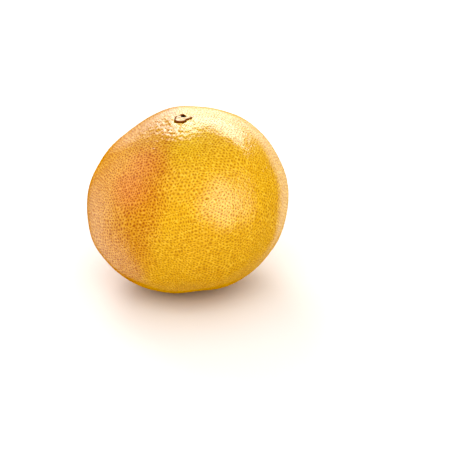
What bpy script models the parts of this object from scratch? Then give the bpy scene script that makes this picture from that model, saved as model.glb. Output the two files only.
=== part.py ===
"""A whole pomelo, of the thin-rinded kind, resting on a small flat spot.

Run it with: blender --background --python part.py, or from Blender's text editor.

The fruit is one closed solid. Its skin is worked out from directions: each vertex of a round ball is a direction from
the fruit's middle, and a formula says how far the skin lies in that direction. The formula adds a leaning ellipsoid,
a few broad swellings and hollows, low waves and a dip at the stem end. Small pits are then pressed in.
The dry stem button is a second solid that sits in a shallow seat.

Units are metres, with +Z up. The fruit's underside lies at Z = 0, and its left side (-X) is the blushed one.
"""

import math

import bmesh
import bpy
import numpy as np

MM = 0.001

# The fruit's main sizes
FRUIT_WIDTH = 114.6 * MM
FRUIT_DEPTH = 113.2 * MM
FRUIT_HEIGHT = 105.8 * MM
MIDDLE_HEIGHT = 51.9 * MM  # how high the fruit's middle lies: less than half its height, which leaves the flat spot
LEAN_LEFT_DEG = 3.4
LEAN_FRONT_DEG = 4.7

# Broad forms of the skin: azimuth and elevation of each one's middle in degrees, how far it spreads in degrees, and
# how far it stands out. Azimuth 0 is +X, and 90 is +Y.
BROAD_FORMS = {
    "full right shoulder": (20, 35, 30, 1.0 * MM),
    "sloping left shoulder": (151, 45, 26, -3.3 * MM),
    "full lower left": (197, -31, 24, 2.1 * MM),
    "lower front corner": (223, -55, 10, 0.4 * MM),
    "flattened lower front": (270, -64, 18, -1.3 * MM),
    "high back right": (60, 62, 22, 0.9 * MM),
    "crest behind the button": (125, 59, 11, 1.2 * MM),
}

# Low waves that keep the skin from looking turned on a lathe
WAVE_SEED = 11
WAVE_COUNT = 12
WAVE_LENGTHS = (18 * MM, 42 * MM)
WAVE_HEIGHT = 0.09 * MM

# The dip that the button sits in
STEM_DIP_DEPTH = 0.5 * MM
STEM_DIP_RADIUS = 11 * MM

# Pits of the skin
BALL_CUTS = 22
PIT_SEED = 5
PIT_DEPTH = 0.36 * MM
PIT_DEPTH_SPREAD = 0.35
VERTEX_JITTER = 0.8 * MM
PITS_START_FROM_BASE = 17 * MM
PITS_START_FROM_STEM = 6.5 * MM

# The stem button
BUTTON_WIDTH = 7.0 * MM
BUTTON_LENGTH = 7.9 * MM
BUTTON_LOBES = 5
BUTTON_LOBE_DEPTH = 0.07
LONG_LOBE_REACH = 2.3 * MM
LONG_LOBE_ANGLE_DEG = 2
LONG_LOBE_SPREAD_DEG = 15
BUTTON_RISE = 1.15 * MM  # how far the button's rim stands out of the skin
BUTTON_SINK = 1.1 * MM  # how deep the seat goes into the skin
BUTTON_CLEARANCE = 0.3 * MM
BUTTON_SIDES = 64
SCAR_PLACE = (0.8 * MM, 0.7 * MM)
SCAR_RADIUS = 1.0 * MM
SCAR_DEPTH = 0.75 * MM

RIND_COLOUR = (0.84, 0.43, 0.03, 1.0)
CALYX_COLOUR = (0.62, 0.44, 0.24, 1.0)


def clear_scene():
    """Removes what the startup scene holds."""
    for thing in list(bpy.data.objects):
        bpy.data.objects.remove(thing)


def principled(name, colour, roughness):
    """A plain material of one colour, neither metallic nor clear."""
    material = bpy.data.materials.new(name)
    material.use_nodes = True
    shader = material.node_tree.nodes["Principled BSDF"]
    shader.inputs["Base Color"].default_value = colour
    shader.inputs["Roughness"].default_value = roughness
    shader.inputs["Metallic"].default_value = 0.0
    return material


def unit(vector):
    """The vector, or each row of an array of them, brought to a length of one."""
    vector = np.asarray(vector, float)
    return vector / np.linalg.norm(vector, axis=-1, keepdims=True)


def toward(azimuth_deg, elevation_deg):
    """The direction at this azimuth and elevation."""
    azimuth = math.radians(azimuth_deg)
    elevation = math.radians(elevation_deg)
    level = math.cos(elevation)
    return np.array([level * math.cos(azimuth), level * math.sin(azimuth), math.sin(elevation)])


def stem_frame():
    """The fruit's own three directions: across to the right, towards the back, and out at the stem end."""
    left = math.sin(math.radians(LEAN_LEFT_DEG))
    front = math.sin(math.radians(LEAN_FRONT_DEG))
    stem = unit([-left, -front, 1.0])
    across = unit(np.cross([0.0, 1.0, 0.0], stem))
    back = np.cross(stem, across)
    return across, back, stem


def low_waves(points):
    """A gentle unevenness: sine waves of seeded direction, length and phase, added up at each point."""
    random = np.random.default_rng(WAVE_SEED)
    directions = unit(random.normal(size=(WAVE_COUNT, 3)))
    lengths = random.uniform(*WAVE_LENGTHS, size=WAVE_COUNT)
    phases = random.uniform(0, 2 * math.pi, size=WAVE_COUNT)
    turns = points @ (directions * (2 * math.pi / lengths)[:, None]).T + phases
    return WAVE_HEIGHT * np.sin(turns).sum(axis=1)


def skin_points(directions):
    """The smooth skin's points, in these directions from the fruit's middle, before any pits."""
    across, back, stem = stem_frame()
    halves = np.array([FRUIT_WIDTH, FRUIT_DEPTH, FRUIT_HEIGHT]) / 2
    own = directions @ np.stack([across, back, stem]).T
    reach = 1 / np.linalg.norm(own / halves, axis=1)
    for azimuth, elevation, spread, height in BROAD_FORMS.values():
        near = (directions @ toward(azimuth, elevation) - 1) / math.radians(spread) ** 2
        reach = reach + height * np.exp(near)
    reach = reach + low_waves(directions * reach[:, None])
    from_stem = np.hypot(own[:, 0], own[:, 1]) * FRUIT_HEIGHT / 2
    dip = STEM_DIP_DEPTH * np.exp(-((from_stem / STEM_DIP_RADIUS) ** 2)) * (own[:, 2] > 0)
    reach = reach - dip
    return directions * reach[:, None] + np.array([0.0, 0.0, MIDDLE_HEIGHT])


def stem_place():
    """The point of the skin at the stem end."""
    return skin_points(stem_frame()[2][None])[0]


def spread_pits(mesh, random):
    """Picks vertices in a seeded order, leaving out each one beside a picked one, so that they spread evenly."""
    picked = np.zeros(len(mesh.verts), bool)
    mesh.verts.ensure_lookup_table()
    for index in random.permutation(len(mesh.verts)):
        vertex = mesh.verts[int(index)]
        if not any(picked[edge.other_vert(vertex).index] for edge in vertex.link_edges):
            picked[index] = True
    return picked


def fade(distance, start, width):
    """Nought up to the start, rising smoothly to one over the width."""
    share = np.clip((distance - start) / width, 0, 1)
    return share * share * (3 - 2 * share)


def make_fruit(rind):
    """The fruit: a ball whose vertices are moved out to the pitted skin, cut flat underneath."""
    mesh = bmesh.new()
    bmesh.ops.create_icosphere(mesh, subdivisions=1, radius=1.0)
    bmesh.ops.subdivide_edges(mesh, edges=mesh.edges[:], cuts=BALL_CUTS, use_grid_fill=True)
    bmesh.ops.triangulate(mesh, faces=mesh.faces[:])
    mesh.verts.index_update()
    random = np.random.default_rng(PIT_SEED)
    pitted = spread_pits(mesh, random)
    jitter = random.normal(size=(len(mesh.verts), 3)) * VERTEX_JITTER / FRUIT_WIDTH
    directions = unit(unit([vertex.co[:] for vertex in mesh.verts]) + jitter)
    points = skin_points(directions)
    depth = PIT_DEPTH * (1 + PIT_DEPTH_SPREAD * random.normal(size=len(points)))
    from_stem = np.linalg.norm(points - stem_place(), axis=1)
    from_base = np.linalg.norm(points, axis=1)
    depth = depth * pitted * fade(from_stem, PITS_START_FROM_STEM, 3 * MM)
    depth = depth * fade(from_base, PITS_START_FROM_BASE, 4 * MM)
    points = points - directions * depth[:, None]
    for vertex, point in zip(mesh.verts, points):
        vertex.co = point
    cut_flat_spot(mesh)
    return add_object("fruit", mesh, rind)


def cut_flat_spot(mesh):
    """Takes off what lies below Z = 0 and closes the cut with one flat face, which the fruit rests on."""
    everything = mesh.verts[:] + mesh.edges[:] + mesh.faces[:]
    bmesh.ops.bisect_plane(
        mesh,
        geom=everything,
        dist=0.12 * MM,
        use_snap_center=True,
        plane_co=(0, 0, 0),
        plane_no=(0, 0, -1),
        clear_outer=True,
    )
    rim = [edge for edge in mesh.edges if edge.is_boundary]
    bmesh.ops.edgeloop_fill(mesh, edges=rim)
    bmesh.ops.recalc_face_normals(mesh, faces=mesh.faces[:])


def add_object(name, mesh, material):
    """An object of this name from the bmesh, smooth-shaded, in the scene."""
    data = bpy.data.meshes.new(name)
    mesh.to_mesh(data)
    mesh.free()
    data.shade_smooth()
    data.materials.append(material)
    made = bpy.data.objects.new(name, data)
    bpy.context.scene.collection.objects.link(made)
    return made


def button_outline(angles):
    """How far the button's rim lies from its middle at these angles: an oval with shallow lobes and one long lobe."""
    half_width = BUTTON_WIDTH / 2
    half_length = BUTTON_LENGTH / 2
    oval = 1 / np.hypot(np.cos(angles) / half_width, np.sin(angles) / half_length)
    lobes = 1 + BUTTON_LOBE_DEPTH * np.cos(BUTTON_LOBES * (angles - math.radians(LONG_LOBE_ANGLE_DEG)))
    beyond = angles - math.radians(LONG_LOBE_ANGLE_DEG)
    beyond = (beyond + math.pi) % (2 * math.pi) - math.pi
    long_lobe = LONG_LOBE_REACH * np.exp(-((beyond / math.radians(LONG_LOBE_SPREAD_DEG)) ** 2))
    return oval * lobes + long_lobe


def ring_points(reach, height):
    """A ring of points about the stem axis, at these distances from it and this height above the skin there."""
    across, back, stem = stem_frame()
    angles = np.linspace(0, 2 * math.pi, BUTTON_SIDES, endpoint=False)
    level = np.outer(reach * np.cos(angles), across) + np.outer(reach * np.sin(angles), back)
    return stem_place() + level + np.outer(height * np.ones(BUTTON_SIDES), stem)


def stack_rings(rings):
    """A closed solid from rings of points, listed from the bottom up, with an n-gon at each end."""
    mesh = bmesh.new()
    rows = [[mesh.verts.new(point) for point in ring] for ring in rings]
    for lower, upper in zip(rows, rows[1:]):
        for side in range(BUTTON_SIDES):
            after = (side + 1) % BUTTON_SIDES
            mesh.faces.new((lower[side], lower[after], upper[after], upper[side]))
    mesh.faces.new(rows[0][::-1])
    mesh.faces.new(rows[-1])
    return mesh


def make_seat_cutter(rind):
    """The tool that cuts the button's seat: the button's outline with clearance, from in the rind to above it."""
    angles = np.linspace(0, 2 * math.pi, BUTTON_SIDES, endpoint=False)
    reach = button_outline(angles) + BUTTON_CLEARANCE
    rings = [ring_points(reach, -BUTTON_SINK), ring_points(reach * 1.03, 4 * MM)]
    cutter = add_object("seat_cutter", stack_rings(rings), rind)
    cutter.hide_render = True
    cutter.display_type = "WIRE"
    return cutter


def cut_seat(fruit, cutter):
    """Cuts the button's seat out of the fruit."""
    boolean = fruit.modifiers.new("button seat", "BOOLEAN")
    boolean.operation = "DIFFERENCE"
    boolean.object = cutter


def scar_height(across, along):
    """How much lower the button's top lies here, in and around the pit where the stalk broke off."""
    from_scar = np.hypot(across - SCAR_PLACE[0], along - SCAR_PLACE[1]) / SCAR_RADIUS
    pit = -SCAR_DEPTH * np.exp(-(from_scar**4))
    collar = 0.28 * MM * np.exp(-(((from_scar - 1.9) / 0.5) ** 2))
    return pit + collar


def make_stem_button(calyx):
    """The dry button: a low lobed disc that thins towards its rim, with an off-centre pit in its top."""
    angles = np.linspace(0, 2 * math.pi, BUTTON_SIDES, endpoint=False)
    rim = button_outline(angles)
    floor = -BUTTON_SINK + BUTTON_CLEARANCE
    rings = [ring_points(rim * 0.9, floor), ring_points(rim, floor + 0.25 * MM)]
    rings.append(ring_points(rim * 1.01, BUTTON_RISE * 0.45))
    for share in (0.96, 0.87, 0.76, 0.64, 0.52, 0.41, 0.3, 0.2, 0.1):
        reach = rim * share
        dome = BUTTON_RISE * (1 - 0.45 * share**8) + 0.12 * MM * np.cos(BUTTON_LOBES * angles) * share**2
        height = dome + scar_height(reach * np.cos(angles), reach * np.sin(angles))
        rings.append(ring_points(reach, height))
    mesh = stack_rings(rings)
    bmesh.ops.triangulate(mesh, faces=mesh.faces[:])
    return add_object("stem_button", mesh, calyx)


def main():
    clear_scene()
    rind = principled("rind", RIND_COLOUR, 0.42)
    calyx = principled("dry_calyx", CALYX_COLOUR, 0.8)
    fruit = make_fruit(rind)
    cut_seat(fruit, make_seat_cutter(rind))
    make_stem_button(calyx)
    low = [min(vertex.co[axis] for vertex in fruit.data.vertices) for axis in range(3)]
    high = [max(vertex.co[axis] for vertex in fruit.data.vertices) for axis in range(3)]
    print("fruit from", [round(value / MM, 2) for value in low], "to", [round(value / MM, 2) for value in high], "mm")
    print("stem end at", [round(float(value) / MM, 2) for value in stem_place()], "mm")


main()
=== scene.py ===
# %% [markdown]
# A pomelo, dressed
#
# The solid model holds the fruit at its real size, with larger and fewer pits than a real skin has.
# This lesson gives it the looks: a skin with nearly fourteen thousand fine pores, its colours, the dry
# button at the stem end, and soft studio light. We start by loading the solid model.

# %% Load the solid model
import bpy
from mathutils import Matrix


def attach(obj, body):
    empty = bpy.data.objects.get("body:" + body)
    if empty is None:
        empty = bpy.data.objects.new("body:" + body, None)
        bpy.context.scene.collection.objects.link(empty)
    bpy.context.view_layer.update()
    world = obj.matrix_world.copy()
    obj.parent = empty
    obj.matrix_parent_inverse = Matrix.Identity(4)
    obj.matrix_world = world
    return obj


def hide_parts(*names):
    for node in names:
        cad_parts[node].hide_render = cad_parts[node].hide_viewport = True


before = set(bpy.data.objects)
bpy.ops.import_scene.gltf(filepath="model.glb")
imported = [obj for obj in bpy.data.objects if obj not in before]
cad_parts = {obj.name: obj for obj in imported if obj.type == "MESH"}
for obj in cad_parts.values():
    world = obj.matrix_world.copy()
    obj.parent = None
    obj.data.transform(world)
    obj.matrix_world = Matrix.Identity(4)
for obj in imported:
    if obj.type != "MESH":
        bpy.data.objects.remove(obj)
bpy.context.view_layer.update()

import math

import bpy
import numpy as np
from mathutils import Quaternion, Vector

MM = 0.001

# %% [markdown]
# The camera
#
# A fruit on a table is usually pictured from a little above. This one looks almost free of perspective,
# so the camera stands a metre away with a long lens. We aim it with two offsets, because the fruit
# isn't in the middle of the frame: it sits a little left and high.

# %% Camera
CAMERA_ELEVATION_DEG = 26
CAMERA_DISTANCE = 1.0
LENS_MM = 139
SENSOR_WIDTH_MM = 36
FRUIT_MIDDLE = Vector((0.0, 0.0, 51.9 * MM))
AIM_RIGHT = 22.0 * MM
AIM_DOWN = 14.8 * MM


def make_camera():
    """A camera that looks along +Y and down by its elevation, at a point beside the fruit's middle."""
    elevation = math.radians(CAMERA_ELEVATION_DEG)
    towards_camera = Vector((0.0, -math.cos(elevation), math.sin(elevation)))
    picture_up = Vector((0.0, math.sin(elevation), math.cos(elevation)))
    aim = FRUIT_MIDDLE + Vector((AIM_RIGHT, 0.0, 0.0)) - picture_up * AIM_DOWN
    camera = bpy.data.objects.new("camera", bpy.data.cameras.new("camera"))
    camera.data.lens = LENS_MM
    camera.data.sensor_width = SENSOR_WIDTH_MM
    camera.location = aim + towards_camera * CAMERA_DISTANCE
    camera.rotation_euler = (math.pi / 2 - elevation, 0.0, 0.0)
    bpy.context.scene.collection.objects.link(camera)
    bpy.context.scene.camera = camera
    return camera


camera = make_camera()
print("camera at", [round(value, 3) for value in camera.location])

# %% [markdown]
# The fruit's own axes
#
# The fruit rests a little tilted: its stem end leans left and towards us. What belongs to the stem end,
# such as the button, is easiest to place along the fruit's own axes, so we work these out first. A few
# small helpers for directions and soft falloffs come with them, because every later step uses them.

# %% Axes and helpers
LEAN_LEFT_DEG = 3.4
LEAN_FRONT_DEG = 4.7


def unit(vectors):
    """Each row brought to a length of one."""
    vectors = np.asarray(vectors, float)
    return vectors / np.linalg.norm(vectors, axis=-1, keepdims=True)


def toward(azimuth_deg, elevation_deg):
    """The direction at this azimuth, counted from +X towards +Y, and this elevation."""
    azimuth = math.radians(azimuth_deg)
    elevation = math.radians(elevation_deg)
    level = math.cos(elevation)
    return np.array([level * math.cos(azimuth), level * math.sin(azimuth), math.sin(elevation)])


def bell(value, reach, power=2):
    """One at nought, falling off softly about the reach: e to the minus (value / reach) to the power."""
    return np.exp(-((value / reach) ** power))


def smooth_step(value, start, end):
    """Nought before the start, one past the end, and 3t² - 2t³ between them."""
    share = np.clip((value - start) / (end - start), 0, 1)
    return share * share * (3 - 2 * share)


def sine_waves(points, seed, count, lengths):
    """The sum of sine waves of seeded direction, length and phase, at each point."""
    random = np.random.default_rng(seed)
    directions = unit(random.normal(size=(count, 3)))
    length = random.uniform(*lengths, size=count)
    phases = random.uniform(0, 2 * math.pi, size=count)
    return np.sin(points @ (directions * (2 * math.pi / length)[:, None]).T + phases).sum(axis=1)


def lean_axes():
    """Three rows: the fruit's own right, its own back, and out at the stem end."""
    left = math.sin(math.radians(LEAN_LEFT_DEG))
    front = math.sin(math.radians(LEAN_FRONT_DEG))
    stem = unit([-left, -front, 1.0])
    across = unit(np.cross([0.0, 1.0, 0.0], stem))
    return np.stack([across, np.cross(stem, across), stem])


stem_axes = lean_axes()
print("the stem end points along", stem_axes[2].round(3))

# %% [markdown]
# The form of the fruit
#
# No pomelo is a turned ball. This one has a sloping left shoulder and is fullest low on its left. We
# could push a ball about by hand, but a formula is easier to measure and to repeat. For each direction
# from the fruit's middle, it says how far away the skin is. It starts as a leaning ellipsoid. Each
# broad form adds a smooth swelling or hollow around its own direction, and a dozen long, low waves take
# away the last of the evenness. The solid model uses the same formula and values.

# %% Form of the fruit
FRUIT_WIDTH = 114.6 * MM
FRUIT_DEPTH = 113.2 * MM
FRUIT_HEIGHT = 105.8 * MM
FRUIT_RADIUS = FRUIT_WIDTH / 2
# Each broad form has the azimuth and elevation of its middle, its spread in degrees, and its height.
BROAD_FORMS = {
    "full right shoulder": (20, 35, 30, 1.0 * MM),
    "sloping left shoulder": (151, 45, 26, -3.3 * MM),
    "full lower left": (197, -31, 24, 2.1 * MM),
    "lower front corner": (223, -55, 10, 0.4 * MM),
    "flattened lower front": (270, -64, 18, -1.3 * MM),
    "high back right": (60, 62, 22, 0.9 * MM),
    "crest behind the button": (125, 59, 11, 1.2 * MM),
}
WAVE_SEED = 11
WAVE_COUNT = 12
WAVE_LENGTHS = (18 * MM, 42 * MM)
WAVE_HEIGHT = 0.09 * MM
STEM_DIP_DEPTH = 0.5 * MM
STEM_DIP_RADIUS = 11 * MM


def skin_reach(directions):
    """How far the smooth skin lies from the fruit's middle: ellipsoid, broad forms, waves and stem dip."""
    own = directions @ stem_axes.T
    halves = np.array([FRUIT_WIDTH, FRUIT_DEPTH, FRUIT_HEIGHT]) / 2
    reach = 1 / np.linalg.norm(own / halves, axis=1)
    for azimuth, elevation, spread, height in BROAD_FORMS.values():
        near = (directions @ toward(azimuth, elevation) - 1) / math.radians(spread) ** 2
        reach = reach + height * np.exp(near)
    waves = sine_waves(directions * reach[:, None], WAVE_SEED, WAVE_COUNT, WAVE_LENGTHS)
    reach = reach + WAVE_HEIGHT * waves
    from_stem = np.hypot(own[:, 0], own[:, 1]) * FRUIT_HEIGHT / 2
    return reach - STEM_DIP_DEPTH * bell(from_stem, STEM_DIP_RADIUS) * (own[:, 2] > 0)


stem_end = stem_axes[2] * skin_reach(stem_axes[2:])[0] + np.array(FRUIT_MIDDLE)
print("stem end at", (stem_end / MM).round(2), "mm")

# %% [markdown]
# A lattice made for pores
#
# The skin's dots are oil glands, nearly two millimetres apart, each in its own dimple. We could scatter
# dots over any fine mesh, but then most of them miss its vertices and look ragged. Here the mesh is
# made for the pores. On a lattice of triangles, every seventh vertex can be a pore, with a ring of six
# vertices that belong to no other pore, like flowers that fill the plane. The lattice lies on the ten
# diamonds of an icosahedron, blown up into a ball. One corner is the stem end, the opposite one the
# blossom end.

# %% Lattice
STEPS = 98
STEM_CROWDING = 0.5
STEM_CROWDING_REACH = 0.17
DIAMONDS = 10
SAME_PLACE_DIGITS = 7
NEARLY_NOUGHT = 1e-9


def diamond_corners():
    """Top, left, bottom and right corners of ten diamonds: five hang from the stem end, five stand."""
    turns = np.arange(6) * 2 * np.pi / 5
    height = np.full(6, 1 / math.sqrt(5))
    upper = np.stack([2 * height * np.cos(turns), 2 * height * np.sin(turns), height], -1)
    turns = turns + np.pi / 5
    lower = np.stack([2 * height * np.cos(turns), 2 * height * np.sin(turns), -height], -1)
    pole = np.tile([0.0, 0.0, 1.0], (5, 1))
    hanging = np.stack([pole, upper[:5], lower[:5], upper[1:]], 1)
    standing = np.stack([upper[1:], lower[:5], -pole, lower[1:]], 1)
    return np.concatenate([hanging, standing])


def lattice_directions():
    """Each diamond's grid: the sum of its corners, each times the sine of its share of the edge's angle."""
    i, j = np.indices((STEPS + 1, STEPS + 1)) / STEPS
    shares = [np.maximum(1 - i - j, 0), np.minimum(i, 1 - j)]
    shares += [np.maximum(i + j - 1, 0), np.minimum(j, 1 - i)]
    weights = np.sin(np.stack(shares, -1) * math.atan(2))
    return unit(np.einsum("ijc,dcx->dijx", weights, diamond_corners()))


def crowd_at_stem(directions):
    """Draws the lattice together near the stem: its angle from there, times 1 less a bell about nought."""
    angle = np.arccos(np.clip(directions[:, 2], -1, 1))
    new_angle = angle * (1 - STEM_CROWDING * bell(angle, STEM_CROWDING_REACH))
    level = directions[:, :2] / np.maximum(np.sin(angle), NEARLY_NOUGHT)[:, None]
    return np.column_stack([level * np.sin(new_angle)[:, None], np.cos(new_angle)])


grid = lattice_directions()
places = grid.reshape(-1, 3).round(SAME_PLACE_DIGITS)
_, kept, number_at = np.unique(places, axis=0, return_index=True, return_inverse=True)
number_at = number_at.reshape(DIAMONDS, STEPS + 1, STEPS + 1)
own_directions = crowd_at_stem(grid.reshape(-1, 3)[kept])
print("skin lattice:", len(kept), "vertices, and ten diamonds need", DIAMONDS * STEPS**2 + 2)

# %% [markdown]
# Pores and their rings
#
# In the lattice's two coordinates i and j, the pores are where 3i + j is a multiple of seven. Each
# other vertex has just one pore beside it. We could search for the nearest one, but the mesh's edges
# already lead there.

# %% Find the pores
PORE_EVERY = 7


def lattice_triangles():
    """Two triangles for each cell of each diamond, with their corners' numbers, facing outwards."""
    top, left = number_at[:, :-1, :-1], number_at[:, 1:, :-1]
    bottom, right = number_at[:, 1:, 1:], number_at[:, :-1, 1:]
    halves = [np.stack([top, left, right], -1), np.stack([left, bottom, right], -1)]
    return np.stack(halves, 3).reshape(-1, 3)


def pore_owners(triangles, is_pore):
    """For each vertex the number of its pore: its own for a pore, else the one along an edge."""
    owner = np.arange(len(is_pore))
    for first, second in ((0, 1), (1, 2), (2, 0), (1, 0), (2, 1), (0, 2)):
        start, end = triangles[:, first], triangles[:, second]
        leads = is_pore[start] & ~is_pore[end]
        owner[end[leads]] = start[leads]
    return owner


rows, columns = np.indices((STEPS + 1, STEPS + 1))
is_pore = np.broadcast_to((3 * rows + columns) % PORE_EVERY == 0, number_at.shape).ravel()[kept]
skin_triangles = lattice_triangles()
owner = pore_owners(skin_triangles, is_pore)
print("pores:", int(is_pore.sum()), "of", len(is_pore), "vertices")

# %% [markdown]
# Spread the pores
#
# Left like this, the pores would stand in straight rows, and a real skin has none. Wholly random places
# would overlap and leave gaps. So the whole lattice is bent by long and short waves, then each pore is
# moved a little with its ring, and each ring is made a little wider or narrower.

# %% Spread the pores
PORE_SEED = 7
BEND_SEED = 31
BEND_LENGTHS = (24 * MM, 60 * MM)
BEND_COUNT = 10
BEND = 0.55 * MM
STIR_SEED = 34
STIR_LENGTHS = (3.6 * MM, 7.5 * MM)
STIR_COUNT = 40
STIR = 0.075 * MM
CALM_AT_STEM = 0.06
PORE_SHIFT = 0.15
RING_WIDTHS = (0.88, 1.15)
VERTEX_SHIFT = 0.05


def settle(directions, owner, random):
    """Bends the lattice by waves, then moves and widens each pore's ring, by shares of the ring's reach."""
    places = directions * FRUIT_RADIUS
    long = [sine_waves(places, BEND_SEED + axis, BEND_COUNT, BEND_LENGTHS) for axis in range(3)]
    short = [sine_waves(places, STIR_SEED + axis, STIR_COUNT, STIR_LENGTHS) for axis in range(3)]
    bend = np.stack(long, -1) * BEND + np.stack(short, -1) * STIR
    far_from_stem = 1 - bell(1 - directions[:, 2:], CALM_AT_STEM)
    bent = unit(directions + bend / FRUIT_RADIUS * far_from_stem)
    from_pore = bent - bent[owner]
    reach = np.linalg.norm(from_pore, axis=1)
    ring_size = np.maximum(np.bincount(owner, minlength=len(owner)) - 1, 1)
    ring_reach = np.bincount(owner, reach, len(owner)) / ring_size
    shift = random.normal(size=bent.shape) * (PORE_SHIFT * ring_reach)[:, None]
    width = random.uniform(*RING_WIDTHS, size=len(owner))
    loose = random.normal(size=bent.shape) * (VERTEX_SHIFT * ring_reach[owner])[:, None]
    return unit(bent[owner] + shift[owner] + from_pore * width[owner][:, None] + loose)


random = np.random.default_rng(PORE_SEED)
directions = settle(own_directions, owner, random) @ stem_axes
smooth_points = directions * skin_reach(directions)[:, None] + np.array(FRUIT_MIDDLE)
area_per_pore = 4 * math.pi * FRUIT_RADIUS**2 / is_pore.sum()
print("pores about", round(math.sqrt(area_per_pore * 2 / math.sqrt(3)) / MM, 2), "mm apart")

# %% [markdown]
# The outlines of button and table
#
# The button's rim isn't round. It is an oval, longer at the back, with five blunt lobes and a long one
# that points right. The seat in the skin, the dark seam of painted shade in the gap at the rim, and the
# button itself all follow this outline, so it is one function. With it, each vertex learns how far it
# lies beyond the rim, and so whether it may carry a pore: there are none under the button or on the
# flat spot.

# %% Outlines of button and table
BUTTON_WIDTH = 7.0 * MM
BUTTON_FRONT = 3.95 * MM
BUTTON_BACK = 4.75 * MM
BUTTON_LOBES = 5
BUTTON_LOBE_DEPTH = 0.07
LONG_LOBE_REACH = 2.3 * MM
LONG_LOBE_ANGLE = math.radians(2)
LONG_LOBE_SPREAD = math.radians(15)
BESIDE_BUTTON = (0.3 * MM, 2.5 * MM)
BESIDE_TABLE = (13 * MM, 17 * MM)
STEM_SIDE_FROM = -30 * MM
TABLE_SIDE_TO = 20 * MM
FAR_OFF = 1000.0


def button_outline(angles):
    """How far the rim lies from the button's middle: an oval times 1 + a cosine of lobes, plus a bell."""
    along = np.where(np.sin(angles) > 0, BUTTON_BACK, BUTTON_FRONT)
    oval = 1 / np.hypot(np.cos(angles) * 2 / BUTTON_WIDTH, np.sin(angles) / along)
    lobes = 1 + BUTTON_LOBE_DEPTH * np.cos(BUTTON_LOBES * (angles - LONG_LOBE_ANGLE))
    beyond = (angles - LONG_LOBE_ANGLE + np.pi) % (2 * np.pi) - np.pi
    return oval * lobes + LONG_LOBE_REACH * bell(beyond, LONG_LOBE_SPREAD)


# The stem's axis also passes through the fruit's far side, so the vertices over there count as far off.
own_places = (smooth_points - stem_end) @ stem_axes.T
from_axis = np.hypot(own_places[:, 0], own_places[:, 1])
stem_distance = np.where(own_places[:, 2] < STEM_SIDE_FROM, FAR_OFF, from_axis)
stem_angle = np.arctan2(own_places[:, 1], own_places[:, 0])
beyond_rim = stem_distance - button_outline(stem_angle)
free_of_button = smooth_step(beyond_rim, *BESIDE_BUTTON)
from_middle = np.hypot(smooth_points[:, 0], smooth_points[:, 1])
table_distance = np.where(smooth_points[:, 2] > TABLE_SIDE_TO, FAR_OFF, from_middle)
free_of_table = smooth_step(table_distance, *BESIDE_TABLE)
print("vertices under the button:", int((beyond_rim < 0).sum()))

# %% [markdown]
# The relief of the skin
#
# Each pore is the bottom of a dimple of its own depth, and the ring about it lies a little below the
# net of ridges. On the front left of the stem, the skin is rough with pebbles a few millimetres long,
# which break the light up into glints. A bump map would give the glints too, but not the uneven edge,
# so all of it is real height. The button's seat is a step down inside the button's outline, and a faint
# crease leads away beside its long lobe. Under the fruit, the skin is pressed flat on the table.

# %% Relief
PORE_DEPTH = (0.07 * MM, 0.15 * MM)
RING_DEPTH_SHARE = 0.22
RIDGE_UNEVENNESS = 0.012 * MM
PEBBLE_SEED = 23
PEBBLE_LENGTHS = (2.4 * MM, 4.4 * MM)
PEBBLE_COUNT = 60
PEBBLE_HEIGHT = 0.012 * MM
PEBBLES_EVERYWHERE = 0.3
PEBBLES_IN_FRONT = 1.9
ROUGH_PLACE = (-0.23, -0.20, 0.95)
ROUGH_REACH = 15 * MM
CREASE_ANGLE = math.radians(16)
CREASE_WIDTH = 0.6 * MM
CREASE_DEPTH = 0.16 * MM
CREASE_STARTS = (4 * MM, 5 * MM)
CREASE_ENDS = (8 * MM, 12 * MM)
SEAT_DEPTH = 1.0 * MM
SEAT_WALL = (0.10 * MM, 0.55 * MM)

ring_share = np.where(is_pore, 1, RING_DEPTH_SHARE)
pore_depth = random.uniform(*PORE_DEPTH, size=len(owner))[owner] * ring_share
ridges = random.normal(size=len(owner)) * RIDGE_UNEVENNESS * ~is_pore
dimples = (ridges - pore_depth) * free_of_button * free_of_table

rough_from = np.linalg.norm((directions - unit(ROUGH_PLACE)) * FRUIT_RADIUS, axis=1)
pebbles = sine_waves(smooth_points, PEBBLE_SEED, PEBBLE_COUNT, PEBBLE_LENGTHS) * PEBBLE_HEIGHT
pebbles = pebbles * (PEBBLES_EVERYWHERE + PEBBLES_IN_FRONT * bell(rough_from, ROUGH_REACH))

across_crease = stem_distance * np.sin(stem_angle - CREASE_ANGLE)
along_crease = stem_distance * np.cos(stem_angle - CREASE_ANGLE)
crease = bell(across_crease, CREASE_WIDTH)
crease *= smooth_step(along_crease, *CREASE_STARTS) * (1 - smooth_step(along_crease, *CREASE_ENDS))

lift = pebbles + dimples - CREASE_DEPTH * crease
seat = SEAT_DEPTH * (1 - smooth_step(beyond_rim, *SEAT_WALL))
skin_points = smooth_points + directions * lift[:, None] - stem_axes[2] * seat[:, None]
skin_points[:, 2] = np.maximum(skin_points[:, 2], 0)
print("dimples up to", round(pore_depth.max() / MM, 2), "mm deep")
print("pebbles up to", round(pebbles.max() / MM, 2), "mm high")

# %% [markdown]
# The skin's mesh
#
# The vertices and triangles go into the mesh as whole arrays. In the UV map the ten diamonds are
# squares, five to a row. The masks become attributes, which the materials read, so the colour of a pore
# lies exactly in its dimple. An image could hold the masks too, but it would have to be very large to
# show each pore as sharply.

# %% Build the skin
UV_GAP = 0.015
SQUARES_IN_ROW = 5
# Where the painted shade of the seam lies beyond the button's rim, and how far it fades.
SEAM_MIDDLE = 0.12 * MM
SEAM_FADE = (0.05 * MM, 0.75 * MM)
PORE_MASKS = (0.55, 1.0)
RING_MASKS = (0.0, 0.34)
BLOSSOM_RADIUS = 2.4 * MM


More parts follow.
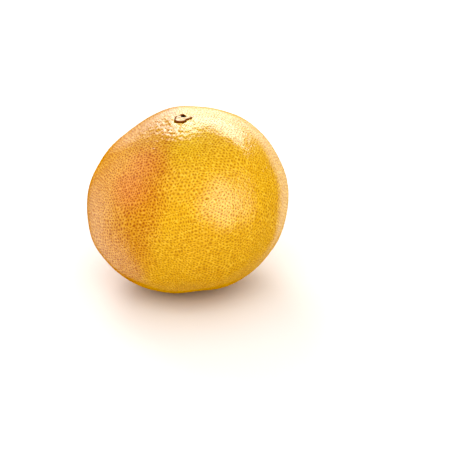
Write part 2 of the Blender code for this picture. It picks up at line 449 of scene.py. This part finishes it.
def add_piece(name, points, faces, attributes):
    """A smooth-shaded object with these vertices and faces, with one float attribute for each name."""
    mesh = bpy.data.meshes.new(name)
    mesh.from_pydata(points.tolist(), [], faces)
    for label, values in attributes.items():
        layer = mesh.attributes.new(label, "FLOAT", "POINT")
        layer.data.foreach_set("value", np.asarray(values, np.float32))
    mesh.shade_smooth()
    piece = bpy.data.objects.new(name, mesh)
    bpy.context.scene.collection.objects.link(piece)
    return piece


def diamond_uvs():
    """Each triangle corner's place in the UV map: its diamond's square, and its place in the square."""
    diamond, row, column = np.indices((DIAMONDS, STEPS, STEPS))
    rows = np.stack([row, row + 1, row, row + 1, row + 1, row], -1)
    columns = np.stack([column, column, column + 1, column, column + 1, column + 1], -1)
    right = rows / STEPS * (1 - 2 * UV_GAP) + UV_GAP + (diamond % SQUARES_IN_ROW)[..., None]
    up = columns / STEPS * (1 - 2 * UV_GAP) + UV_GAP + (diamond // SQUARES_IN_ROW)[..., None]
    places = np.stack([right / SQUARES_IN_ROW, up * SQUARES_IN_ROW / DIAMONDS], -1)
    return places.ravel().astype(np.float32)


def make_skin():
    """The fruit's skin, masked for pores, painted shade at the button's seam and in the crease, the blossom
    end.
    """
    # Painted shade: a dark ring in the gap at the button's rim. The crease joins it in the same mask.
    seam = 1 - smooth_step(np.abs(beyond_rim - SEAM_MIDDLE), *SEAM_FADE)
    in_pores = random.uniform(*PORE_MASKS, len(owner))
    in_rings = random.uniform(*RING_MASKS, len(owner))
    blossom_distance = np.linalg.norm((directions + stem_axes[2]) * FRUIT_RADIUS, axis=1)
    masks = {
        "pore": np.where(is_pore, in_pores, in_rings) * free_of_button,
        "seam": np.maximum(seam, crease),
        "blossom_end": bell(blossom_distance, BLOSSOM_RADIUS, 4),
    }
    skin = add_piece("fruit_skin", skin_points, skin_triangles.tolist(), masks)
    skin.data.uv_layers.new(name="OFBake").data.foreach_set("uv", diamond_uvs())
    return skin


skin = make_skin()
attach(skin, "root")
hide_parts("fruit")
print("skin:", len(skin.data.polygons), "triangles")

# %% [markdown]
# The stem button
#
# The button is the dry calyx: a low disc of five blunt lobes and one long one, with the pit where the
# stalk broke off. It could be modelled by hand, but its rim has to follow the seat in the skin. So it
# is one surface of rings, each a copy of the lobed outline at its own size and height. A profile leads
# them from under the rim, up and over the edge, to the middle of the top.

# %% Button rings
BUTTON_RISE = 1.15 * MM
BUTTON_FLOOR = -0.8 * MM
BUTTON_SIDES = 180
# Each point of the side has its share of the outline, and its height above the button's floor.
SIDE_PROFILE = ((0.90, 0.0), (0.97, 0.1 * MM), (1.0, 0.35 * MM))
EDGE_SHARE = 0.955
EDGE_ROUND = 0.05
EDGE_LOW = 0.25
EDGE_RISE = 0.35
EDGE_STEPS = 8
TOP_STEPS = 40
TOP_SHARES = (0.94, 0.02)


def button_rings():
    """Each ring's share of the outline and height: up the side, a quarter turn, and in to the middle."""
    side = [(share, BUTTON_FLOOR + height) for share, height in SIDE_PROFILE]
    turns = np.linspace(0, np.pi / 2, EDGE_STEPS)
    edge_heights = BUTTON_RISE * (EDGE_LOW + EDGE_RISE * np.sin(turns))
    edge = np.column_stack([EDGE_SHARE + EDGE_ROUND * np.cos(turns), edge_heights])
    shares = np.linspace(*TOP_SHARES, TOP_STEPS)
    edge_top = EDGE_LOW + EDGE_RISE
    top = np.column_stack([shares, BUTTON_RISE * (edge_top + (1 - edge_top) * (1 - shares**3))])
    return np.concatenate([side, edge, top])


rings = button_rings()
print("button:", len(rings), "rings of", BUTTON_SIDES, "points")

# %% [markdown]
# The button's relief
#
# On top, a collar stands round the pit, folds run out from the middle along the lobes, and fine waves
# wrinkle the dry surface. The masks that colour it are worked out with it: one for the pit, painted black
# as shade in the hole, and a small grey mark, one for the brown ring at the rim, which is wider at the
# back.

# %% Button relief
PIT_PLACE = (1.6 * MM, 2.1 * MM)
PIT_RADIUS = 1.7 * MM
PIT_DEPTH = 0.9 * MM
PIT_STEEPNESS = 6
PIT_EDGE = (0.9, 1.2)
COLLAR_PLACE = 1.75
COLLAR_SPREAD = 0.45
COLLAR_HEIGHT = 0.16 * MM
MARK_PLACE = (-1.1 * MM, 0.5 * MM)
MARK_RADIUS = 0.7 * MM
MARK_DARKNESS = 0.6
FOLD_HEIGHT = 0.13 * MM
WRINKLE_SEED = 4
WRINKLE_COUNT = 40
WRINKLE_LENGTHS = (0.5 * MM, 1.8 * MM)
WRINKLE_HEIGHT = 0.009 * MM
TOP_STARTS = (0.2 * BUTTON_RISE, 0.6 * BUTTON_RISE)
SIDE_ENDS = (0.35 * BUTTON_RISE, 0.55 * BUTTON_RISE)
RING_FROM = 0.84
RING_WIDER_AT_BACK = 0.3
RING_SOFTNESS = 0.08

share, ring_height = rings[:, :1], rings[:, 1:]
angles = np.linspace(0, 2 * np.pi, BUTTON_SIDES, endpoint=False)
across = share * button_outline(angles) * np.cos(angles)
along = share * button_outline(angles) * np.sin(angles)
on_top = smooth_step(ring_height, *TOP_STARTS)
from_pit = np.hypot(across - PIT_PLACE[0], along - PIT_PLACE[1]) / PIT_RADIUS
pit = bell(from_pit, 1, PIT_STEEPNESS)
collar = bell(from_pit - COLLAR_PLACE, COLLAR_SPREAD)
mark = bell(np.hypot(across - MARK_PLACE[0], along - MARK_PLACE[1]), MARK_RADIUS)
folds = np.cos(BUTTON_LOBES * (angles - LONG_LOBE_ANGLE)) * share**2
top_lift = COLLAR_HEIGHT * (collar - mark) - PIT_DEPTH * pit + FOLD_HEIGHT * folds
button_places = np.stack([across, along, ring_height + on_top * top_lift], -1).reshape(-1, 3)
wrinkles = sine_waves(button_places, WRINKLE_SEED, WRINKLE_COUNT, WRINKLE_LENGTHS) * WRINKLE_HEIGHT
button_places[:, 2] += wrinkles * np.repeat(on_top[:, 0], BUTTON_SIDES)

# The pit's part of this mask paints shade in the hole. The grey mark is the button's own colour.
pit_shade_and_mark_mask = np.maximum(1 - smooth_step(from_pit, *PIT_EDGE), MARK_DARKNESS * mark) * on_top
brown_from = RING_FROM - RING_WIDER_AT_BACK * np.sqrt(np.maximum(np.sin(angles), 0))
brown_ring = smooth_step(share, brown_from, brown_from + RING_SOFTNESS)
rim_mask = np.maximum(1 - smooth_step(ring_height, *SIDE_ENDS), brown_ring)
print("pit", round(-top_lift.min() / MM, 2), "mm deep")

# %% [markdown]
# The button's mesh
#
# Quads join each ring to the next. One point under the lowest ring and one in the middle of the top
# close the surface, so that no hole is left at either end.

# %% Build the button


def ring_faces(ring_count, sides):
    """Quads between the rings, then two fans: to a point under the first ring and one over the last."""
    number = np.arange(ring_count * sides).reshape(ring_count, sides)
    after = np.roll(number, -1, axis=1)
    quads = np.stack([number[:-1], after[:-1], after[1:], number[1:]], -1).reshape(-1, 4)
    lowest = np.full(sides, number.size)
    under = np.column_stack([lowest, after[0], number[0]])
    over = np.column_stack([lowest + 1, number[-1], after[-1]])
    return quads.tolist() + under.tolist() + over.tolist()


def make_button():
    """The dry button at the stem end, with its masks for the pit's painted shade and the mark, and for the
    rim.
    """
    below = [[0.0, 0.0, BUTTON_FLOOR]]
    middle = button_places[-BUTTON_SIDES:].mean(axis=0, keepdims=True)
    points = np.concatenate([button_places, below, middle]) @ stem_axes + stem_end
    masks = {
        "pit_shade_and_mark": np.append(pit_shade_and_mark_mask.ravel(), [0.0, 0.0]),
        "rim": np.append(rim_mask.ravel(), [1.0, 0.0]),
    }
    return add_piece("stem_button_dry", points, ring_faces(len(rings), BUTTON_SIDES), masks)


button = make_button()
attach(button, "root")
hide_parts("stem_button")
print("button:", len(button.data.polygons), "faces")

# %% [markdown]
# Helpers for materials
#
# A material is a graph of nodes, and written out in full, each node takes several lines. These helpers
# place one kind of node each. They take numbers or sockets alike and hand back a socket, so that the
# materials below read almost like formulas.

# %% Node helpers
MIX_FACTOR, MIX_FIRST_NUMBER, MIX_SECOND_NUMBER, MIX_FIRST_COLOUR, MIX_SECOND_COLOUR = 0, 2, 3, 6, 7
MIXED_NUMBER, MIXED_COLOUR = 0, 2


def add_node(tree, kind, **settings):
    """A new node of this kind, with these settings."""
    node = tree.nodes.new("ShaderNode" + kind)
    for name, value in settings.items():
        setattr(node, name, value)
    return node


def feed(tree, value, socket):
    """Links the value to the socket where the value is a socket itself, else sets it there."""
    if isinstance(value, bpy.types.NodeSocket):
        tree.links.new(value, socket)
    else:
        socket.default_value = value


def arithmetic(tree, operation, *values, clamp=False):
    """A math node's result."""
    node = add_node(tree, "Math", operation=operation, use_clamp=clamp)
    for place, value in enumerate(values):
        feed(tree, value, node.inputs[place])
    return node.outputs[0]


def mix_numbers(tree, factor, first, second):
    """The first number where the factor is nought, the second where it is one."""
    mix = add_node(tree, "Mix")
    for place, value in ((MIX_FACTOR, factor), (MIX_FIRST_NUMBER, first), (MIX_SECOND_NUMBER, second)):
        feed(tree, value, mix.inputs[place])
    return mix.outputs[MIXED_NUMBER]


def mix_colours(tree, factor, first, second, blend="MIX"):
    """The first colour where the factor is nought, the second, or the two blended, where it is one."""
    mix = add_node(tree, "Mix", data_type="RGBA", blend_type=blend)
    for place, value in ((MIX_FACTOR, factor), (MIX_FIRST_COLOUR, first), (MIX_SECOND_COLOUR, second)):
        feed(tree, value, mix.inputs[place])
    return mix.outputs[MIXED_COLOUR]


def soft_range(tree, value, start, end):
    """A smooth step of the value: nought at the start, one at the end. Either may be the larger."""
    node = add_node(tree, "MapRange", interpolation_type="SMOOTHSTEP")
    for label, number in (("Value", value), ("From Min", start), ("From Max", end)):
        feed(tree, number, node.inputs[label])
    return node.outputs["Result"]


def noise_at(tree, place, scale, detail):
    """Soft noise about a half, with so many features to the metre."""
    noise = add_node(tree, "TexNoise")
    for label, value in (("Vector", place), ("Scale", scale), ("Detail", detail)):
        feed(tree, value, noise.inputs[label])
    return noise.outputs[0]


def read_attribute(tree, name):
    """The piece's own float attribute."""
    return add_node(tree, "Attribute", attribute_name=name).outputs["Fac"]


def object_place(tree):
    """The place in the piece's own coordinates, in metres."""
    return add_node(tree, "TexCoord").outputs["Object"]


print("node helpers ready")

# %% [markdown]
# Node groups
#
# Some effects are used by more than one material, so each is a node group with named inputs: mottling,
# which mixes two colours by soft noise, and grain, which turns fine noise into a height for a Bump
# node. Both read the object's own coordinates, so their patterns keep their real size.

# %% Shared node groups
MOTTLING_DETAIL = 4
GRAIN_DETAIL = 3


def new_group(name, inputs, outputs):
    """An empty shader node group with these sockets, and its input and output nodes."""
    group = bpy.data.node_groups.new(name, "ShaderNodeTree")
    for label, kind, value in inputs:
        socket = group.interface.new_socket(label, in_out="INPUT", socket_type=kind)
        socket.default_value = value
    for label, kind in outputs:
        group.interface.new_socket(label, in_out="OUTPUT", socket_type=kind)
    return group, group.nodes.new("NodeGroupInput"), group.nodes.new("NodeGroupOutput")


def make_mottling():
    """Colour A to colour B by noise of a given size in metres, drawn apart about a half by the contrast."""
    inputs = [
        ("Colour A", "NodeSocketColor", (1, 1, 1, 1)),
        ("Colour B", "NodeSocketColor", (0, 0, 0, 1)),
        ("Size", "NodeSocketFloat", 0.01),
        ("Contrast", "NodeSocketFloat", 2.0),
    ]
    group, given, out = new_group("Mottling", inputs, [("Colour", "NodeSocketColor")])
    scale = arithmetic(group, "DIVIDE", 1, given.outputs["Size"])
    noise = noise_at(group, object_place(group), scale, MOTTLING_DETAIL)
    centred = arithmetic(group, "SUBTRACT", noise, 0.5)
    share = arithmetic(group, "MULTIPLY_ADD", centred, given.outputs["Contrast"], 0.5, clamp=True)
    colour = mix_colours(group, share, given.outputs["Colour A"], given.outputs["Colour B"])
    group.links.new(colour, out.inputs[0])
    return group


def make_grain():
    """A height from noise of a given size in metres, times a given strength."""
    inputs = [("Size", "NodeSocketFloat", 0.001), ("Strength", "NodeSocketFloat", 1.0)]
    group, given, out = new_group("Grain", inputs, [("Height", "NodeSocketFloat")])
    scale = arithmetic(group, "DIVIDE", 1, given.outputs["Size"])
    noise = noise_at(group, object_place(group), scale, GRAIN_DETAIL)
    group.links.new(arithmetic(group, "MULTIPLY", noise, given.outputs["Strength"]), out.inputs[0])
    return group


def use_group(tree, group, **values):
    """The first output of a node that places the group, with its inputs set by name."""
    node = add_node(tree, "Group", node_tree=group)
    for label, value in values.items():
        node.inputs[label.replace("_", " ")].default_value = value
    return node.outputs[0]


mottling = make_mottling()
grain = make_grain()
print("node groups:", mottling.name, grain.name)

# %% [markdown]
# The peel's colours
#
# The peel is a warm yellow that turns orange on the left, with a deeper blush where the sun had it. The
# turn is a slanting plane through the fruit, unsettled by noise so that it wanders. The blush is two
# soft balls of colour that cut the surface. One more ball makes the stem end a little duller: partly the
# duller colour of a stem end, partly painted shade that dims the top, where the light is strongest.
# Balls and planes in space have no seam and no stretched places, which a painted flat map would have.

# %% Peel colours
PEEL_YELLOW = (0.755, 0.405, 0.001, 1)
PEEL_GOLD = (0.735, 0.375, 0.001, 1)
PEEL_ORANGE = (0.66, 0.29, 0.001, 1)
PEEL_AMBER = (0.64, 0.265, 0.001, 1)
YELLOW_SPOTS = 18 * MM
ORANGE_SPOTS = 15 * MM
SPOT_CONTRAST = 2.0
TURN_LINE = -17.5 * MM
TURN_SLOPE = 0.25
TURN_SOFTNESS = 15 * MM
TURN_WANDER = 16 * MM
TURN_WANDER_SIZE = 16 * MM
TURN_WANDER_DETAIL = 4
BLUSH = (0.65, 0.195, 0.001, 1)
BLUSH_SPOTS = (((-0.535, -0.707, 0.462), 20 * MM), ((-0.405, -0.605, 0.685), 18 * MM))
BLUSH_STRENGTH = 0.7
BALL_CORE = 0.2
# Partly the duller colour of a stem end, partly painted shade that dims the top where the light is
# strongest.
STEM_END_TINT_AND_SHADE = (0.80, 0.87, 1.0, 1)
STEM_END_REACH = 55 * MM


def turn_to_orange(tree, place):
    """One on the orange side of the plane x = line + slope times height, nought on the yellow side."""
    split = add_node(tree, "SeparateXYZ")
    tree.links.new(place, split.inputs[0])
    level = FRUIT_MIDDLE.z * TURN_SLOPE
    slanted = arithmetic(tree, "MULTIPLY_ADD", split.outputs["Z"], -TURN_SLOPE, level)
    beyond = arithmetic(tree, "ADD", split.outputs["X"], slanted)
    wander = noise_at(tree, place, 1 / TURN_WANDER_SIZE, TURN_WANDER_DETAIL)
    wandering = arithmetic(tree, "MULTIPLY_ADD", wander, TURN_WANDER, beyond)
    line = TURN_LINE + TURN_WANDER / 2
    return soft_range(tree, wandering, line + TURN_SOFTNESS / 2, line - TURN_SOFTNESS / 2)


def soft_ball(tree, place, middle, reach):
    """One in the core of a ball of this reach, nought outside it."""
    apart = add_node(tree, "VectorMath", operation="DISTANCE")
    tree.links.new(place, apart.inputs[0])
    apart.inputs[1].default_value = middle
    return soft_range(tree, apart.outputs["Value"], reach, BALL_CORE * reach)


def blush_spots(tree, place):
    """The blush's strength in the middles of its soft balls on the skin, nought outside them."""
    spots = 0.0
    for direction, reach in BLUSH_SPOTS:
        middle = FRUIT_MIDDLE + Vector(direction).normalized() * FRUIT_RADIUS
        spots = arithmetic(tree, "MAXIMUM", spots, soft_ball(tree, place, middle, reach))
    return arithmetic(tree, "MULTIPLY", spots, BLUSH_STRENGTH)


def peel_ground(tree, place, turn):
    """Mottled yellow to mottled orange, then the blush, then the stem end's tint, partly painted shade."""
    yellow = use_group(tree, mottling, Colour_A=PEEL_YELLOW, Colour_B=PEEL_GOLD, Size=YELLOW_SPOTS,
                       Contrast=SPOT_CONTRAST)
    orange = use_group(tree, mottling, Colour_A=PEEL_ORANGE, Colour_B=PEEL_AMBER, Size=ORANGE_SPOTS,
                       Contrast=SPOT_CONTRAST)
    turned = mix_colours(tree, turn, yellow, orange)
    blushed = mix_colours(tree, blush_spots(tree, place), turned, BLUSH)
    # Painted shade on the top, mixed with the stem end's own duller colour.
    near_stem = soft_ball(tree, place, stem_end, STEM_END_REACH)
    return mix_colours(tree, near_stem, blushed, STEM_END_TINT_AND_SHADE, "MULTIPLY")


print("peel colours:", len(BLUSH_SPOTS), "blush spots, a turn", round(TURN_SOFTNESS / MM), "mm wide")

# %% [markdown]
# The peel
#
# On top of the broad colours come the pores: darker dots, cut sharp out of their mask, on a paler net.
# The net's paleness is partly the skin's own and partly painted sheen, above all its blue lift.
# A tint multiplies what lies under it, so a pore is darker gold on the yellow side and darker red on
# the orange side. The gloss is a clear coat of wax. It is thinner in the pores, and towards the fruit's
# edge, where a full coat would mirror the room and turn the rim white. The fine bumps use the same
# mask, so that each dimple catches the light in the same place.

# %% Peel material
# Partly the skin's paler net, partly painted sheen: the strong blue lift stands in for glints on the
# ridges.
NET_TINT_AND_SHEEN = (1.13, 1.28, 22.0, 1)
NET_RANGE = (0.20, 0.0)
DOT_RANGE = (0.12, 0.55)
YELLOW_PORE_TINT = (0.62, 0.47, 0.0, 1)
ORANGE_PORE_TINT = (0.54, 0.29, 0.0, 1)
# Painted shade in the gap at the button's rim and along the crease.
SEAM_SHADE_BROWN = (0.22, 0.055, 0.003, 1)
BLOSSOM_BROWN = (0.20, 0.11, 0.04, 1)
PEEL_ROUGHNESS = 0.2
PORE_ROUGHER = 0.1
WAX_LOST_IN_PORES = 0.6
WAX_LOST_AT_EDGE = 0.9
WAX_ROUGHNESS = 0.2
WAX_IOR = 1.5
PEEL_GRAIN_SIZE = 0.6 * MM
PEEL_GRAIN = 0.2
PEEL_BUMP = 0.3
PEEL_BUMP_HEIGHT = 0.1 * MM


def new_material(name, roughness):
    """A material without a mirror gloss of its own, with its node tree and its Principled shader."""
    material = bpy.data.materials.new(name)
    material.use_nodes = True
    shader = material.node_tree.nodes["Principled BSDF"]
    shader.inputs["Roughness"].default_value = roughness
    shader.inputs["Specular IOR Level"].default_value = 0.0
    return material, material.node_tree, shader


def add_bump(tree, shader, height, strength, distance):
    """Gives the shader bumps of this height map, at most this distance high."""
    bump = add_node(tree, "Bump")
    for label, value in (("Height", height), ("Strength", strength), ("Distance", distance)):
        feed(tree, value, bump.inputs[label])
    tree.links.new(bump.outputs[0], shader.inputs["Normal"])


def add_wax(tree, shader, dot):
    """A clear coat: less in each dot, and less by the square of how far the skin turns away."""
    facing = add_node(tree, "LayerWeight").outputs["Facing"]
    edge = arithmetic(tree, "POWER", facing, 2.0)
    between_pores = arithmetic(tree, "MULTIPLY_ADD", dot, -WAX_LOST_IN_PORES, 1.0)
    off_edge = arithmetic(tree, "MULTIPLY_ADD", edge, -WAX_LOST_AT_EDGE, 1.0)
    weight = arithmetic(tree, "MULTIPLY", between_pores, off_edge, clamp=True)
    tree.links.new(weight, shader.inputs["Coat Weight"])
    shader.inputs["Coat Roughness"].default_value = WAX_ROUGHNESS
    shader.inputs["Coat IOR"].default_value = WAX_IOR


def make_peel():
    """The peel: colours, dots on a net with painted sheen, painted shade at seam and crease, blossom end,
    wax, bumps.
    """
    material, tree, shader = new_material("peel", PEEL_ROUGHNESS)
    place = object_place(tree)
    turn = turn_to_orange(tree, place)
    pore = read_attribute(tree, "pore")
    net = soft_range(tree, pore, *NET_RANGE)
    # The paler net, with its blue lift of painted sheen.
    sheened_net = mix_colours(tree, net, peel_ground(tree, place, turn), NET_TINT_AND_SHEEN, "MULTIPLY")
    dot = soft_range(tree, pore, *DOT_RANGE)
    pore_tint = mix_colours(tree, turn, YELLOW_PORE_TINT, ORANGE_PORE_TINT)
    dotted = mix_colours(tree, dot, sheened_net, pore_tint, "MULTIPLY")
    # Painted shade: brown in the gap at the button's rim and along the crease.
    seam_shaded = mix_colours(tree, read_attribute(tree, "seam"), dotted, SEAM_SHADE_BROWN)
    colour = mix_colours(tree, read_attribute(tree, "blossom_end"), seam_shaded, BLOSSOM_BROWN)
    tree.links.new(colour, shader.inputs["Base Color"])
    roughness = arithmetic(tree, "MULTIPLY_ADD", dot, PORE_ROUGHER, PEEL_ROUGHNESS)
    tree.links.new(roughness, shader.inputs["Roughness"])
    add_wax(tree, shader, dot)
    fine = use_group(tree, grain, Size=PEEL_GRAIN_SIZE, Strength=PEEL_GRAIN)
    height = arithmetic(tree, "SUBTRACT", fine, dot)
    add_bump(tree, shader, height, PEEL_BUMP, PEEL_BUMP_HEIGHT)
    return material


peel = make_peel()
skin.data.materials.append(peel)
print("peel:", len(peel.node_tree.nodes), "nodes")

# %% [markdown]
# The dry button's finish
#
# Dry calyx is pale, papery and dull. Cream and tan mottle its top, a brown ring follows its rim and is
# wider at the back, the pit is painted nearly black as shade in the hole, and a small mark in front of it
# is grey. It has no wax, and a grain of its own.

# %% Button material
CALYX_CREAM = (0.84, 0.70, 0.47, 1)
CALYX_TAN = (0.60, 0.40, 0.19, 1)
CALYX_BROWN = (0.19, 0.045, 0.003, 1)
# Painted shade: the pit's hole is coloured nearly black.
PIT_SHADE_BLACK = (0.004, 0.002, 0.001, 1)
CALYX_ROUGHNESS = 0.8
CALYX_SPOTS = 1.8 * MM
CALYX_CONTRAST = 5.0
CALYX_GRAIN_SIZE = 0.3 * MM
CALYX_GRAIN = 1.0
CALYX_BUMP = 0.5
CALYX_BUMP_HEIGHT = 0.12 * MM


def make_calyx():
    """The dry calyx: mottled cream and tan, a brown rim, a pit painted black as shade, dull and grainy."""
    material, tree, shader = new_material("dry calyx", CALYX_ROUGHNESS)
    ground = use_group(tree, mottling, Colour_A=CALYX_CREAM, Colour_B=CALYX_TAN, Size=CALYX_SPOTS,
                       Contrast=CALYX_CONTRAST)
    rimmed = mix_colours(tree, read_attribute(tree, "rim"), ground, CALYX_BROWN)
    # Painted shade in the pit, and the button's own grey mark.
    colour = mix_colours(tree, read_attribute(tree, "pit_shade_and_mark"), rimmed, PIT_SHADE_BLACK)
    tree.links.new(colour, shader.inputs["Base Color"])
    fine = use_group(tree, grain, Size=CALYX_GRAIN_SIZE, Strength=CALYX_GRAIN)
    add_bump(tree, shader, fine, CALYX_BUMP, CALYX_BUMP_HEIGHT)
    return material


calyx = make_calyx()
button.data.materials.append(calyx)
print("dry calyx:", len(calyx.node_tree.nodes), "nodes")

# %% [markdown]
# The floor
#
# The fruit stands on a plain sheet of pale, faintly cream paper. Under the lamps it turns white, and
# its cream shows only in the shadow, which makes that warm. The fruit's wax doesn't see it: the glows
# below stand for the light that a floor sends up, and there we can set how strong it is.

# %% Floor
FLOOR_HALF_SIDE = 6.0
FLOOR_DROP = 0.2 * MM
FLOOR_CREAM = (0.83, 0.79, 0.75, 1)
FLOOR_CREAM_DARKER = (0.82, 0.78, 0.74, 1)
FLOOR_SPOTS = 0.2
FLOOR_ROUGHNESS = 0.9


def make_floor():
    """A large square sheet just under the fruit."""
    side = FLOOR_HALF_SIDE
    corners = np.array([(-side, -side), (side, -side), (side, side), (-side, side)])
    points = np.column_stack([corners, np.full(4, -FLOOR_DROP)])
    floor = add_piece("floor", points, [[0, 1, 2, 3]], {})
    material, tree, shader = new_material("white floor", FLOOR_ROUGHNESS)
    sheet = use_group(tree, mottling, Colour_A=FLOOR_CREAM, Colour_B=FLOOR_CREAM_DARKER, Size=FLOOR_SPOTS)
    tree.links.new(sheet, shader.inputs["Base Color"])
    floor.data.materials.append(material)
    floor.visible_glossy = False
    return floor


floor = make_floor()
print("floor made,", 2 * FLOOR_HALF_SIDE, "m wide")

# %% [markdown]
# The room
#
# The light is that of a bright room with soft lamps. The room lights dull surfaces evenly from all
# sides. In a gloss, an even room would only wash the colour out, so the gloss sees a dark room with a
# few round glows: one at the left, one at the front right for the soft spot on the fruit's cheek, one
# low behind, and the light that the floor sends up. A dark card low behind takes some of it away again.
# We could place a lamp for each, but a glow that is a formula in the world has no hard edge and makes
# no noise.

# %% Room
ROOM_LOW = 0.75
ROOM_RISE = 0.56
ROOM_COLOUR = (0.985, 0.99, 1.0, 1)
BACKDROP = (0.97, 0.94, 0.91, 1)
BACKDROP_STRENGTH = 1.0
WHITE = (1, 1, 1, 1)
GLOSS_BASE = 0.05
# Each glow has its direction, the angles where it starts and where it is full, and its strength.
GLOWS = {
    "left wall": ((-0.88, 0.18, 0.44), 52, 10, 1.75),
    "cheek": ((0.67, -0.66, 0.34), 43, 8, 5.6),
    "low back": ((0.05, 0.92, 0.38), 42, 8, 6.8),
    "floor behind": ((0.0, 0.97, -0.25), 68, 30, 0.25),
    "left floor": ((-0.80, 0.30, -0.48), 46, 10, 2.0),
    "right floor": ((0.50, 0.80, -0.30), 34, 10, 2.0),
    "dark card": ((0.0, 0.90, -0.44), 36, 16, -0.62),
}


def add_glow(tree, way, centre, outer_deg, inner_deg, strength):
    """A round light that fades outwards: its strength times a smooth step of the angle from its middle."""
    dot = add_node(tree, "VectorMath", operation="DOT_PRODUCT")
    tree.links.new(way, dot.inputs[0])
    dot.inputs[1].default_value = Vector(centre).normalized()
    angle = arithmetic(tree, "ARCCOSINE", dot.outputs["Value"])
    glow = soft_range(tree, angle, math.radians(outer_deg), math.radians(inner_deg))
    return arithmetic(tree, "MULTIPLY", glow, strength)


def make_room():
    """A world with three faces: even for dull surfaces, dark with glows for gloss, pale for the camera."""
    world = bpy.data.worlds.new("bright room")
    bpy.context.scene.world = world
    world.use_nodes = True
    world.cycles.sampling_method = "NONE"
    tree = world.node_tree
    way = add_node(tree, "TexCoord").outputs["Generated"]
    gloss = GLOSS_BASE
    for glow in GLOWS.values():
        gloss = arithmetic(tree, "ADD", gloss, add_glow(tree, way, *glow))
    height = add_node(tree, "SeparateXYZ")
    tree.links.new(way, height.inputs[0])
    above = arithmetic(tree, "MAXIMUM", height.outputs["Z"], 0.0)
    even = arithmetic(tree, "MULTIPLY_ADD", above, ROOM_RISE, ROOM_LOW)
    ray = add_node(tree, "LightPath").outputs
    lit = mix_numbers(tree, ray["Is Glossy Ray"], even, gloss)
    strength = mix_numbers(tree, ray["Is Camera Ray"], lit, BACKDROP_STRENGTH)
    tint = mix_colours(tree, ray["Is Glossy Ray"], ROOM_COLOUR, WHITE)
    colour = mix_colours(tree, ray["Is Camera Ray"], tint, BACKDROP)
    background = tree.nodes["Background"]
    tree.links.new(strength, background.inputs["Strength"])
    tree.links.new(colour, background.inputs["Color"])
    return world


room = make_room()
print("world:", room.name, "with", len(GLOWS), "glows")

# %% [markdown]
# The lamps
#
# Two large soft lamps light the colours: a key lamp high behind on the left, which throws the shadow
# forward, and a fill lamp high in front. The gloss doesn't see them, or they would leave hard white
# squares on the wax. The ceiling panel is the other way round: only the gloss sees it, as the cream
# highlight at the top.

# %% Lamps
SOFTBOXES = {
    "key": dict(place=(-0.4, 1.0, 0.8), width=0.7, height=0.7, radiance=5.6, in_gloss=False),
    "fill": dict(place=(0.0, -1.0, 1.25), width=1.2, height=1.2, radiance=2.25, in_gloss=False),
    "ceiling panel": dict(place=(0.55, 1.28, 1.2), facing=(0.55, 1.28, 0), turn_deg=8,
                          width=1.8, height=1.1, radiance=8.0, in_diffuse=False),
}


def add_softbox(name, place, width, height, radiance, facing=FRUIT_MIDDLE, turn_deg=0, in_diffuse=True,
                in_gloss=True):
    """A rectangle of light that faces a point. Its watts are radiance times pi times area."""
    lamp = bpy.data.lights.new(name, "AREA")
    lamp.shape = "RECTANGLE"
    lamp.size = width
    lamp.size_y = height
    lamp.energy = radiance * math.pi * width * height
    holder = bpy.data.objects.new(name, lamp)
    holder.location = place
    facing_turn = (Vector(place) - Vector(facing)).to_track_quat("Z", "Y")
    holder.rotation_euler = (facing_turn @ Quaternion((0, 0, 1), math.radians(turn_deg))).to_euler()
    holder.visible_diffuse = in_diffuse
    holder.visible_glossy = in_gloss
    bpy.context.scene.collection.objects.link(holder)
    return holder


lamps = [add_softbox(name, **values) for name, values in SOFTBOXES.items()]
bpy.context.scene.view_settings.view_transform = "Standard"
print("lamps:", [lamp.name for lamp in lamps])
